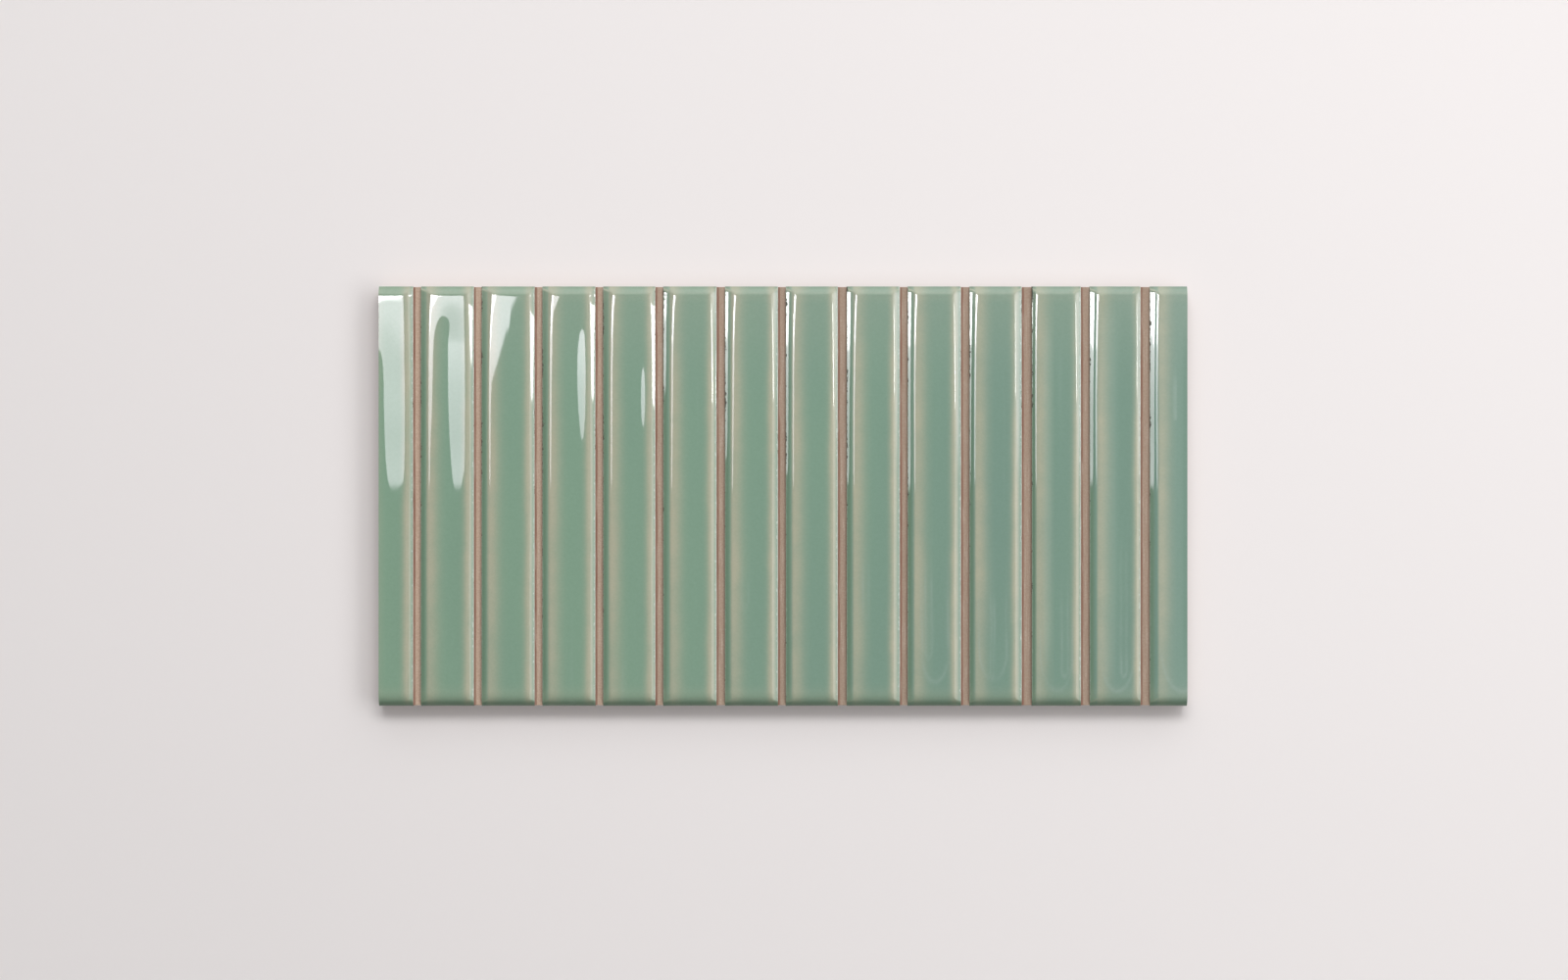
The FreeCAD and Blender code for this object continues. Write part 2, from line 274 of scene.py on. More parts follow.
# The glaze, linear colours. Thick glaze is teal, it pools at the feet of the bevels and at the near end,
# and it runs thin and pale over the ridges. The pool's colour also carries painted shade on the left feet
# and on the near end, which face away from the light, and the pale rim and flecks along the right edges are
# partly painted highlights. Cloud, mottle, flecks, streaks, fine and peel are noises, as in the clay. Feet,
# rims, flecks and the near end lie between two distances from a bar's side or end, in millimetres, and
# nearHalf is between two places along y in metres. PeelHeight and coatHeight are in metres, and bareHeight
# is the bare clay's share of the second.
glaze = {
    "left": (0.224, 0.350, 0.252),
    "right": (0.188, 0.294, 0.238),
    "cloud": (1.0, 0.35, 28.0, 3.0, 0.55),
    "cloudiness": 0.9,
    "pool": (0.135, 0.210, 0.140),
    "footReach": (1.7, 0.5),
    "footPoolAndShade": 0.85,
    "footRightLess": 0.55,
    "thin": (0.415, 0.408, 0.305),
    "mottle": (1.0, 1.0, 260.0, 4.0, 0.6),
    "mottled": 0.55,
    "rimPaleAndHighlight": (0.500, 0.525, 0.450),
    "rimReach": (0.30, 0.08),
    "rimStart": (-0.3, -0.1),
    "rimChips": 0.7,
    "rimRightHighlight": 0.65,
    "fleckAndHighlight": (0.520, 0.590, 0.540),
    "flecksAndHighlights": (1.0, 0.4, 1900.0, 2.0, 0.6),
    "fleckLimits": (0.54, 0.66),
    "fleckReach": (0.62, 0.20),
    "flecksLeft": 0.1125,
    "flecksRightHighlight": 0.6375,
    "nearReach": (4.4, 1.9),
    "nearPoolAndShade": 0.32,
    "nearEdge": (1.9, 0.5),
    "nearEdgePoolAndShade": 0.48,
    "nearHalf": (0.01, -0.01),
    "milky": (0.330, 0.410, 0.360),
    "streaks": (1.0, 0.05, 240.0, 3.0, 0.6),
    "streakLimits": (0.6, 0.8),
    "streakiness": 0.16,
    "fine": (1.0, 1.0, 1500.0, 2.0, 0.6),
    "fineShade": (0.72, 0.80, 0.74),
    "fineLevel": 0.12,
    "fineRange": 0.5,
    "roughness": 0.016,
    "rougher": 0.012,
    "roughLimits": (0.55, 0.8),
    "peel": (1.0, 1.0, 90.0, 2.0, 0.4),
    "peelHeight": 0.0000006,
    "coatHeight": 0.00005,
    "bareHeight": 0.5,
    "ior": 1.52,
}
# Chips where the grinding of the grooves broke the glaze's edge. They start where their noise passes a
# level, and they lie in clusters that are deeper towards the far end, between two places along y in metres.
# Edge and the start of the painted shadow are distances from a bar's side between which the glaze and the
# painted shadow in the bites come in. That shadow is painted near black into the chips that bite into the
# face.
chips = {
    "noise": (1.0, 0.55, 1250.0, 3.0, 0.75),
    "start": 0.575,
    "depth": 2.4,
    "rightLess": 0.75,
    "clusters": (0.6, 1.0, 95.0, 2.0, 0.6),
    "clusterLimits": (0.46, 0.60),
    "clusterDepth": 0.14,
    "farther": (-0.035, 0.03),
    "edge": (-0.05, 0.015),
    "biteShadow": (0.045, 0.055, 0.040),
    "biteShadowStart": (-0.02, 0.02),
    "biteShadowStrength": 0.95,
}


def makeGlazeMaterial():
    material = bpy.data.materials.new("green_glaze")
    wire = freshWire(material)
    place = wire.objectPlace()
    fromSide = wire.attribute("fromSide")
    fromEnd = wire.attribute("fromEnd")
    thinness = wire.attribute("thinness")
    onRight = wire.attribute("onRight")
    mottle = place.noise(*glaze["mottle"])

    # Where glaze covers the clay: up to the bar's side, less the chips.
    chipping = place.noise(*chips["noise"])
    clusters = place.noise(*chips["clusters"]).step(*chips["clusterLimits"])
    farther = place.axis(1).step(*chips["farther"])
    deep = chipping - chips["start"] + clusters * farther * chips["clusterDepth"]
    bites = deep.maths("MAXIMUM", deep, 0.0) * (1.0 - onRight * chips["rightLess"]) * chips["depth"]
    covered = (fromSide - bites).step(*chips["edge"])
    bare = 1.0 - covered

    # The glaze's colour: clouds, pools at the feet with painted shade on the left ones, thin glaze, and the
    # rim along the ground edge and pale flecks, which are partly painted highlights on the right edges.
    cloud = (place.noise(*glaze["cloud"]) - 0.5) * glaze["cloudiness"]
    colour = wire.blend(alongTile(place) + 0.5 + cloud, glaze["left"], glaze["right"])
    # The feet take the pool's colour: thick pooled glaze, and painted shade that is deeper on the left feet,
    # which face away from the light.
    foot = fromSide.step(*glaze["footReach"]) * (glaze["footPoolAndShade"] - onRight * glaze["footRightLess"])
    colour = wire.blend(foot, colour, glaze["pool"])
    colour = wire.blend(thinness + (mottle - 0.5) * thinness * glaze["mottled"], colour, glaze["thin"])
    # The rim is partly thin pale glaze at the ground edge and partly a painted highlight of the edge bead,
    # strongest on the right edges, which face the light.
    rimPaleAndHighlight = fromSide.step(*glaze["rimReach"]) * fromSide.step(*glaze["rimStart"])
    rimPaleAndHighlight = rimPaleAndHighlight * (chipping * glaze["rimChips"] + onRight * glaze["rimRightHighlight"])
    colour = wire.blend(rimPaleAndHighlight, colour, glaze["rimPaleAndHighlight"])
    # The flecks are partly real pale specks and partly painted highlights of the broken-up edge reflection,
    # mostly on the right edges, which face the light.
    flecksAndHighlights = place.noise(*glaze["flecksAndHighlights"]).step(*glaze["fleckLimits"]) * fromSide.step(*glaze["fleckReach"])
    flecksAndHighlights = flecksAndHighlights * (glaze["flecksLeft"] + onRight * glaze["flecksRightHighlight"])
    colour = wire.blend(flecksAndHighlights, colour, glaze["fleckAndHighlight"])

    # The near end, darkened towards the pool's colour by pooled glaze and by painted shade, as it faces away
    # from the light; milky loops and streaks; and a fine unevenness all over.
    nearPoolAndPaintedShade = fromEnd.step(*glaze["nearReach"]) * glaze["nearPoolAndShade"]
    nearPoolAndPaintedShade = nearPoolAndPaintedShade + fromEnd.step(*glaze["nearEdge"]) * glaze["nearEdgePoolAndShade"]
    colour = wire.blend(nearPoolAndPaintedShade * place.axis(1).step(*glaze["nearHalf"]), colour, glaze["pool"])
    colour = wire.blend(wire.attribute("haze"), colour, glaze["milky"])
    streaks = place.noise(*glaze["streaks"]).step(*glaze["streakLimits"])
    colour = wire.blend(streaks * glaze["streakiness"], colour, glaze["milky"])
    fine = (place.noise(*glaze["fine"]) - 0.5) * glaze["fineRange"] + glaze["fineLevel"]
    colour = wire.blend(fine, colour, glaze["fineShade"], "MULTIPLY")

    # Bare clay below the glaze and in the chips, with a painted shadow, near black, where the chips bite
    # into the face.
    clayColour, clayHeight = clayLook(wire, place, noWall)
    biteShadowMask = bare * fromSide.step(*chips["biteShadowStart"]) * chips["biteShadowStrength"]
    clayColour = wire.blend(biteShadowMask, clayColour, chips["biteShadow"])
    shine = glaze["roughness"] + mottle.step(*glaze["roughLimits"]) * glaze["rougher"]
    peel = wire.bump(place.noise(*glaze["peel"]), glaze["peelHeight"])
    wire.surface({
        "Base Color": wire.blend(covered, clayColour, colour),
        "Roughness": shine * covered + clay["roughness"] * bare,
        "IOR": glaze["ior"],
        "Normal": wire.bump(clayHeight * bare * glaze["bareHeight"] + covered, glaze["coatHeight"], peel),
    })
    return material


# The bars: a row of raised strips, both end ones cut by the saw. Some grooves stray a little from their
# places or are a little wider. They're counted from 1 at the left.
row = {
    "bars": 14,
    "pitch": 16.65,
    "groove": 2.1,
    "leftTrim": 5.15,
    "rightTrim": 4.35,
    "strays": {5: -0.20, 7: 0.10, 9: 0.20, 10: 0.40, 11: 0.60, 13: -0.25},
    "wider": {6: 0.15, 8: 0.30, 10: 0.20, 11: 0.60, 12: 0.25, 13: 0.40},
}
# A bar's section and ends. Each bevel has a slope at its foot and a steeper one over the flank, which it
# comes to between two distances from the bar's side, and it rounds over into the face between two others.
# Both bevels are wider near the far end. There the left ridge runs out in a soft tail and the right flank
# is steeper, and from the seventh bar on each right bevel is narrower than the one before. The glaze goes a
# little way down the groove's walls, further down a sawn end, and in a lip with an uneven edge down the
# tile's long sides.
bar = {
    "top": 8.5,
    "bottom": 6.7,
    "left": {"foot": 0.19, "flank": 0.32, "grow": (0.70, 1.65), "round": (1.85, 3.00)},
    "right": {"foot": 0.28, "flank": 0.32, "grow": (0.0, 0.5), "round": (1.00, 2.85)},
    "sumStart": -0.5,
    "sumSteps": 2001,
    "leftWidth": 0.87,
    "rightWidth": 0.92,
    "rightFlare": 0.12,
    "flareFade": 12.0,
    "narrower": 0.02,
    "lastWide": 5,
    "tailStart": 2.5,
    "rightSteeper": 0.15,
    "endBevel": 2.9,
    "farDrop": 1.25,
    "nearDrop": 1.60,
    "endRound": 2.3,
    "mitre": 3.0,
    "sideBead": (0.12, 0.09),
    "endBead": (0.288, 0.135),
    "drift": 0.10,
    "driftWaves": (45.0, 160.0),
    "wallGlaze": 0.12,
    "sawnGlaze": 0.30,
    "wallStep": 0.03,
    "wallLeast": (0.04, 0.02, 0.0),
    "lipRows": 6,
    "lipLow": 6.3,
    "lipInside": 6.35,
    "lipUneven": 0.22,
    "lipWaves": (1.8, 14.0),
    "lipPull": 0.16,
    "lipPullPower": 6,
    "lipThickness": 0.25,
    "underColumns": 6,
    "sharp": 50.0,
}
# Distances from a bar's side and end at which its face has columns and rows: single ones close to the edge,
# then runs of a start, an end and a step. Digits is how finely places are rounded, so that each is used
# once, and closest is how near a column may be to the edge of a bar.
grid = {
    "sideEdge": [0.0, 0.01, 0.03, 0.06, 0.10, 0.15, 0.20, 0.25, 0.33, 0.43, 0.55],
    "sideRuns": [(0.7, 3.2, 0.16), (3.3, (row["pitch"] - row["groove"]) / 2.0, 0.4)],
    "endEdge": [0.0, 0.01, 0.04, 0.08, 0.14, 0.22, 0.32],
    "endRuns": [(0.45, 3.0, 0.14), (3.1, 20.0, 0.55), (20.4, 57.4, 1.2)],
    "closest": 0.005,
    "digits": 4,
}
# Where the glaze lies thin, from a bar's side or end, and how far the paleness reaches beyond its peak.
# From the seventh bar on the left band shifts and fades a little more on each bar. Less says how much
# fainter a band gets, and where. A mitre's band lies where the bevels of a side and an end are equally low.
# Waves are the shortest and longest of a wander.
thin = {
    "leftRise": (1.15, 2.10),
    "leftPeak": 2.35,
    "leftReach": 2.4,
    "leftShift": 0.075,
    "leftLess": 0.025,
    "rightRise": (0.00, 1.45),
    "rightPeak": 1.60,
    "rightReach": 1.25,
    "rightLess": 0.35,
    "rightLessBars": (8.0, 11.0),
    "rightLessFar": (0.0, 35.0),
    "nearLess": 0.25,
    "nearLessFrom": (-20.0, -55.0),
    "endPeak": 2.8,
    "endReach": 2.2,
    "endRise": (-0.5, 0.6),
    "farStrength": 0.22,
    "nearStrength": 0.16,
    "farVeil": 0.13,
    "farVeilReach": 16.0,
    "farVeilRise": (1.0, 3.5),
    "mitreWidth": 0.16,
    "mitreStrength": 0.75,
    "mitreRise": (0.01, 0.12),
    "mitreLeast": 0.25,
    "mitreEnd": (-0.4, 0.3),
    "waver": 0.14,
    "waverWaves": (9.0, 60.0),
    "level": 0.94,
    "patchy": 0.12,
    "patchShift": 40.0,
    "patchWaves": (6.0, 70.0),
}
# How each face is dished: the depth of its fall and rise, their places and reaches from the bar's middle,
# and how far from the far and near ends they come in. The fall lies further to the right at the far end by
# its turn. The face leans to the right by a slope that is less at the far end and comes to its full amount
# over the settling length. Flank is a factor on the drop of its right bevel, flare is how much wider its
# left bevel gets at the far end, and tail is the depth, the reach and the fade of the soft end of its left
# ridge. The dishes name what is different on a bar, counted from 0 at the left.
plainDish = {
    "fall": 0.100, "fallAt": -2.2, "fallReach": 1.5, "fallFade": 14.0, "fallNearFade": 18.0,
    "turn": 0.0, "turnFade": 10.0,
    "rise": 0.075, "riseAt": 2.9, "riseReach": 1.2, "farFade": 20.0, "nearFade": 18.0,
    "lean": 0.0, "leanLess": 0.0, "settling": 6.0,
    "flank": 1.10, "flare": 0.22, "tail": 0.035, "tailReach": 0.60, "tailFade": 3.0,
}
dishes = {
    0: {"fall": 0.215, "fallAt": -1.9, "fallFade": 26.0, "rise": 0.095, "riseAt": 2.2, "riseReach": 1.5,
        "farFade": 18.0, "flank": 1.04},
    1: {"fall": 0.280, "fallAt": -1.95, "fallReach": 2.0, "fallFade": 13.0, "turn": 0.7, "rise": 0.125,
        "riseAt": 2.8, "riseReach": 1.15, "farFade": 12.0, "flank": 1.07, "tail": 0.06, "tailReach": 1.0},
    2: {"fall": 0.0, "rise": 0.0, "lean": 0.0166, "leanLess": 0.0056, "settling": 12.0, "flank": 1.02,
        "tail": 0.12, "tailReach": 1.3, "tailFade": 6.0},
    3: {"fallFade": 10.0, "rise": 0.077, "riseAt": 3.7, "riseReach": 1.15, "farFade": 27.0,
        "nearFade": 110.0, "lean": 0.0028, "flank": 1.02},
    4: {"fallFade": 10.0, "rise": 0.096, "riseAt": 3.7, "riseReach": 1.15, "farFade": 36.0,
        "nearFade": 110.0, "flank": 0.99},
    10: {"flare": 0.14},
    11: {"flare": 0.12},
    12: {"flare": 0.12},
    13: {"flare": 0.12},
}
# Faint milky loops in the glaze near the near end of some bars, as a long U: its middle from the bar's
# middle, its half width, the height of its bottom from the near end, how far up it reaches, and its
# strength.
loops = {
    6: [{"at": -1.6, "half": 1.0, "bottom": 27.0, "top": 44.0, "strength": 0.15}],
    8: [{"at": -2.0, "half": 0.8, "bottom": 24.0, "top": 50.0, "strength": 0.18}],
    9: [{"at": 0.3, "half": 3.6, "bottom": 6.5, "top": 52.0, "strength": 0.30},
        {"at": -1.4, "half": 0.9, "bottom": 13.0, "top": 50.0, "strength": 0.30}],
    10: [{"at": -0.3, "half": 3.8, "bottom": 7.0, "top": 46.0, "strength": 0.30},
         {"at": -0.5, "half": 0.5, "bottom": 7.5, "top": 48.0, "strength": 0.30}],
    11: [{"at": 0.4, "half": 4.4, "bottom": 4.2, "top": 30.0, "strength": 0.30},
         {"at": 2.7, "half": 0.9, "bottom": 8.0, "top": 40.0, "strength": 0.33}],
    12: [{"at": 0.4, "half": 4.6, "bottom": 4.0, "top": 26.0, "strength": 0.27},
         {"at": 2.2, "half": 0.8, "bottom": 8.0, "top": 55.0, "strength": 0.33}],
    13: [{"at": 1.5, "half": 6.4, "bottom": 4.0, "top": 22.0, "strength": 0.33},
         {"at": -0.3, "half": 0.2, "bottom": 79.0, "top": 96.0, "strength": 0.52}],
}
# How all loops are drawn: the bend of the U in half widths, how far it wanders, the width of its line, a
# fainter milkiness inside it, where between bottom and top it starts to fade, and its patches. A veil of
# the same milkiness lies over every bar's far end.
loopLook = {
    "bend": 2.2,
    "lean": 0.25,
    "leanWaves": (20.0, 70.0),
    "line": 0.30,
    "inside": 0.35,
    "insideReach": 0.9,
    "fadeStart": 0.25,
    "patchLevel": 0.75,
    "patchy": 0.35,
    "patchWaves": (8.0, 30.0),
    "farVeil": 0.13,
    "farVeilReach": 22.0,
}
firstGroove = (row["rightTrim"] - row["leftTrim"]) / 2.0 - (row["bars"] - 2) / 2.0 * row["pitch"]
grooveMiddles = firstGroove + np.arange(row["bars"] - 1) * row["pitch"]
grooveWidths = np.full(row["bars"] - 1, row["groove"])
evenLefts = firstGroove + row["groove"] / 2.0 + (np.arange(row["bars"]) - 1.0) * row["pitch"]
evenRights = evenLefts + row["pitch"] - row["groove"]
barMiddles = (evenLefts + evenRights) / 2.0
for number, stray in row["strays"].items():
    grooveMiddles[number - 1] += stray
for number, extra in row["wider"].items():
    grooveWidths[number - 1] += extra
barLefts = grooveMiddles + grooveWidths / 2.0
barLefts = np.concatenate([[barLefts[0] - row["pitch"]], barLefts])
barRights = grooveMiddles - grooveWidths / 2.0
barRights = np.concatenate([barRights, [barRights[-1] + row["pitch"]]])
sideStations = np.concatenate([grid["sideEdge"]] + [np.arange(*run) for run in grid["sideRuns"]])
endStations = np.concatenate([grid["endEdge"]] + [np.arange(*run) for run in grid["endRuns"]])
lipShares = np.arange(1, bar["lipRows"] + 1)[:, None] / bar["lipRows"]


# How many bars a bar lies past the last one with wide bevels.
def pastWide(k):
    return max(k - bar["lastWide"], 0)


# How far a bevel lies under the ridge at each distance from its foot: the sum of its slope from there on.
# The slope goes smoothly from the foot's to the flank's, and then to nothing as the bevel rounds over.
def bevelSink(distance, bevel):
    steps = np.linspace(bar["sumStart"], bevel["round"][1], bar["sumSteps"])
    slope = bevel["foot"] + (bevel["flank"] - bevel["foot"]) * smooth(*bevel["grow"], steps)
    slope = slope * (1.0 - smooth(*bevel["round"], steps))
    sunk = np.cumsum(slope[::-1])[::-1] * (steps[1] - steps[0])
    return np.interp(distance, steps, sunk - sunk[-1])


# How far a bead of this width and drop has sunk at a distance from its edge: a quarter of an ellipse.
def beadSink(distance, width, drop):
    t = np.clip(1.0 - distance / width, 0.0, 1.0)
    return drop * (1.0 - np.sqrt(np.clip(1.0 - t * t, 0.0, 1.0)))


# How far the face has fallen at a distance from the far or near end: drop (1 - distance / bevel)^round.
def endSink(y, fromEnd):
    drop = np.where(y > 0.0, bar["farDrop"], bar["nearDrop"])
    return drop * np.clip(1.0 - fromEnd / bar["endBevel"], 0.0, 1.0) ** bar["endRound"]


# Joins two drops with a rounded mitre: (first^m + second^m)^(1/m).
def mitred(first, second):
    return (first ** bar["mitre"] + second ** bar["mitre"]) ** (1.0 / bar["mitre"])


# Height of a bar's glazed face over the plane: the top, less the side drop joined to the end drop, less the
# side bead joined to the end bead, plus the dish. The dish is a fall on the left and a rise on the right,
# each of the form depth (1 + tanh(distance / reach)) / 2, lowered by the greater depth, and a lean.
def faceHeight(x, y, k):
    dish = {**plainDish, **dishes.get(k, {})}
    across = x - barMiddles[k]
    drift = bar["drift"] * wander(y, barSeed("drift", k), *bar["driftWaves"])
    ridge = halfWidth - bar["endBevel"]
    fromRidge = np.clip(ridge - y, 0.0, None)
    fromSide = np.minimum(x - barLefts[k], barRights[k] - x)
    fromEnd = halfWidth - np.abs(y)
    farShare = np.exp(-fromRidge / bar["flareFade"])
    leftWidth = bar["leftWidth"] + dish["flare"] * farShare
    leftDrop = bevelSink((x - evenLefts[k] + drift) / leftWidth, bar["left"]) * leftWidth
    tail = np.exp(-np.clip(x - evenLefts[k] - bar["tailStart"], 0.0, None) / dish["tailReach"])
    leftDrop = leftDrop + dish["tail"] * tail * np.exp(-fromRidge / dish["tailFade"])
    rightWidth = bar["rightWidth"] + bar["rightFlare"] * farShare
    rightWidth = rightWidth * (1.0 - bar["narrower"] * pastWide(k))
    rightDrop = bevelSink((evenRights[k] - x - drift) / rightWidth, bar["right"]) * rightWidth
    rightDrop = rightDrop * dish["flank"] * (1.0 + bar["rightSteeper"] * farShare)
    sideDrop = np.where(across < 0.0, leftDrop, rightDrop)
    z = bar["top"] - mitred(sideDrop, endSink(y, fromEnd))
    z = z - mitred(beadSink(fromSide, *bar["sideBead"]), beadSink(fromEnd, *bar["endBead"]))
    fallDepth = dish["fall"] * smooth(0.0, dish["fallFade"], ridge - y)
    fallDepth = fallDepth * smooth(0.0, dish["fallNearFade"], ridge + y)
    fallAt = dish["fallAt"] + dish["turn"] * np.exp(-fromRidge / dish["turnFade"])
    fall = fallDepth * (1.0 + np.tanh((fallAt - across) / dish["fallReach"])) / 2.0
    riseDepth = dish["rise"] * smooth(0.0, dish["farFade"], ridge - y)
    riseDepth = riseDepth * smooth(0.0, dish["nearFade"], ridge + y)
    rise = riseDepth * (1.0 + np.tanh((across - dish["riseAt"]) / dish["riseReach"])) / 2.0
    lean = dish["lean"] - dish["leanLess"] * np.exp(-fromRidge / dish["settling"])
    z = z + fall + rise - np.maximum(fallDepth, riseDepth) - lean * across
    return z, fromSide, fromEnd


# Milkiness of a bar's glaze. A loop lies where (across / half)^2 + (below / reach)^2 = 1, and fades upwards
# and where its strength wanders.
def milkiness(across, y, k):
    look = loopLook
    total = look["farVeil"] * np.exp(-((halfWidth - y) / look["farVeilReach"]) ** 2)
    up = y + halfWidth
    for i, loop in enumerate(loops.get(k, [])):
        bend = loop["half"] * look["bend"]
        below = np.clip(loop["bottom"] + bend - up, 0.0, None) / bend
        lean = look["lean"] * wander(y, barSeed("loopLean", k) + i, *look["leanWaves"])
        sideways = (across - loop["at"] - lean) / loop["half"]
        off = (np.sqrt(sideways**2 + below**2) - 1.0) * loop["half"]
        line = np.exp(-((off / look["line"]) ** 2))
        line = line + look["inside"] * np.exp(np.minimum(off, 0.0) / look["insideReach"]) * (off < 0.0)
        fadeFrom = loop["bottom"] + look["fadeStart"] * (loop["top"] - loop["bottom"])
        patches = look["patchy"] * wander(y, barSeed("loopPatches", k) + i, *look["patchWaves"])
        strength = loop["strength"] * smooth(loop["top"], fadeFrom, up) * (look["patchLevel"] + patches)
        total = np.maximum(total, line * strength)
    return total


# Thin glaze: a pale band along each ridge, wider on the left one, a fainter one across each end, and one
# along each mitre.
def thinGlaze(x, y, side, end, k):
    later = pastWide(k)
    onLeft = x < barMiddles[k]
    waver = thin["waver"] * wander(y, barSeed("thinWaver", k), *thin["waverWaves"])
    fromLeft = x - evenLefts[k] - thin["leftShift"] * later
    leftBand = fading(fromLeft - waver, thin["leftPeak"], thin["leftReach"])
    leftBand = leftBand * smooth(*thin["leftRise"], fromLeft) * (1.0 - thin["leftLess"] * later)
    fromRight = (evenRights[k] - x) / (1.0 - bar["narrower"] * later)
    rightBand = fading(fromRight - waver, thin["rightPeak"], thin["rightReach"])
    rightBand = rightBand * smooth(*thin["rightRise"], fromRight)
    less = thin["rightLess"] * smooth(*thin["rightLessBars"], k) * smooth(*thin["rightLessFar"], y)
    band = np.where(onLeft, leftBand, rightBand * (1.0 - less))
    endBand = fading(end, thin["endPeak"], thin["endReach"]) * smooth(*thin["endRise"], end)
    endBand = endBand * np.where(y > 0.0, thin["farStrength"], thin["nearStrength"])
    farVeil = thin["farVeil"] * np.exp(-((halfWidth - y) / thin["farVeilReach"]) ** 2)
    endBand = np.maximum(endBand, farVeil * smooth(*thin["farVeilRise"], end))
    sideSunk = bevelSink(side, bar["left"])
    endSunk = endSink(y, end)
    mitreBand = np.exp(-((sideSunk - endSunk) / thin["mitreWidth"]) ** 2)
    mitreBand = mitreBand * smooth(*thin["mitreRise"], endSunk)
    most = 1.0 - thin["mitreLeast"]
    mitreBand = mitreBand * (thin["mitreLeast"] + most * smooth(*thin["mitreRise"], sideSunk))
    band = np.maximum(band, mitreBand * thin["mitreStrength"] * smooth(*thin["mitreEnd"], end))
    patches = wander(y + thin["patchShift"] * k, barSeed("thinPatches", k), *thin["patchWaves"])
    strength = thin["level"] + thin["patchy"] * patches
    strength = strength * np.where(onLeft, 1.0 - thin["nearLess"] * smooth(*thin["nearLessFrom"], y), 1.0)
    return 1.0 - (1.0 - band * strength) * (1.0 - endBand)


# A skin is an array of x, y, z and the distances from the bar's side and end, on rows and columns of
# points. Bare clay and hidden places have bareSide for those distances, and glaze on a wall has glazedSide.
bareSide = -1.0
glazedSide = 0.35


# Three columns down a bar's wall from its brim: the glaze's lower edge, the clay just under it, and the
# bottom.
def wallDown(brim, sawn):
    x, y, z, _, end = brim
    glazeEnd = z - bar["sawnGlaze" if sawn else "wallGlaze"]
    down = np.concatenate([glazeEnd, glazeEnd - bar["wallStep"], np.full_like(z, bar["bottom"])], axis=1)
    down = np.maximum(down, bar["bottom"] + np.array([bar["wallLeast"]]))
    three = np.ones_like(down)
    side = np.array([[glazedSide, bareSide, bareSide]])
    return np.stack([x * three, y * three, down, side * three, end * three])


# Rows down a long side of the tile from the skin's last row there, to the lip's uneven lower edge.
def lipDown(edge, sign, k):
    x, _, z, side, _ = edge
    lowest = bar["lipLow"] + bar["lipUneven"] * wander(x, barSeed("lip", k) + sign, *bar["lipWaves"])
    y = sign * (halfWidth - bar["lipPull"] * lipShares ** bar["lipPullPower"])
    rows = np.ones((len(lipShares), len(x)))
    z = z + (lowest - z) * lipShares
    return np.stack([x * rows, y * rows, z, np.maximum(side, glazedSide) * rows, -lipShares * rows])


# The hidden underside that closes each ring, between the feet of the walls, which are its outer columns.
# It's flat in the clay, and turns down inside the lips.
def underside(skin, low, high):
    share = np.linspace(1.0, 0.0, bar["underColumns"])[None, 1:-1]
    x = (low + (high - low) * share) * np.ones((skin.shape[1], 1))
    inside = halfWidth - bar["lipThickness"]
    y = np.clip(skin[1][:, :1], -inside, inside) * np.ones_like(share)
    z = np.full_like(y, bar["bottom"])
    down = (bar["lipInside"] - bar["bottom"]) * lipShares
    z[-bar["lipRows"]:] += down
    z[:bar["lipRows"]] += down[::-1]
    bare = np.full_like(x, bareSide)
    return np.stack([x, y, z, bare, bare])


def makeBar(k, material):
    low = max(barLefts[k], -halfLength)
    high = min(barRights[k], halfLength)
    columns = np.concatenate([barLefts[k] + sideStations, barRights[k] - sideStations, [barMiddles[k]]])
    columns = np.unique(np.round(columns, grid["digits"]))
    columns = columns[(columns > low + grid["closest"]) & (columns < high - grid["closest"])]
    columns = np.concatenate([[low], columns, [high]])
    rows = np.concatenate([endStations - halfWidth, [0.0], (halfWidth - endStations)[::-1]])
    x, y = np.meshgrid(columns, rows)
    z, fromSide, fromEnd = faceHeight(x, y, k)
    # A face that would rise over the top is lowered to it.
    z -= max(z.max() - bar["top"], 0.0)
    print("bar", k + 1, "top", round(float(z.max()), 4), "lowest", round(float(z.min()), 4))
    skin = np.stack([x, y, z, fromSide, fromEnd])
    leftWall = wallDown(skin[:, :, :1], barLefts[k] < -halfLength)[:, :, ::-1]
    rightWall = wallDown(skin[:, :, -1:], barRights[k] > halfLength)
    skin = np.concatenate([leftWall, skin, rightWall], axis=2)
    skin = np.concatenate([lipDown(skin[:, 0], -1, k)[:, ::-1], skin, lipDown(skin[:, -1], 1, k)], axis=1)
    x, y, z, side, end = np.concatenate([skin, underside(skin, low, high)], axis=2)
    shades = {
        "fromSide": side,
        "fromEnd": end,
        "haze": milkiness(x - barMiddles[k], y, k),
        "thinness": thinGlaze(x, y, side, end, k),
        "onRight": np.where(x > barMiddles[k], 1.0, 0.0),
    }
    skinRings("glazed_bar_%02d" % (k + 1), np.stack([x, y, z], axis=-1), shades, bar["sharp"], material)


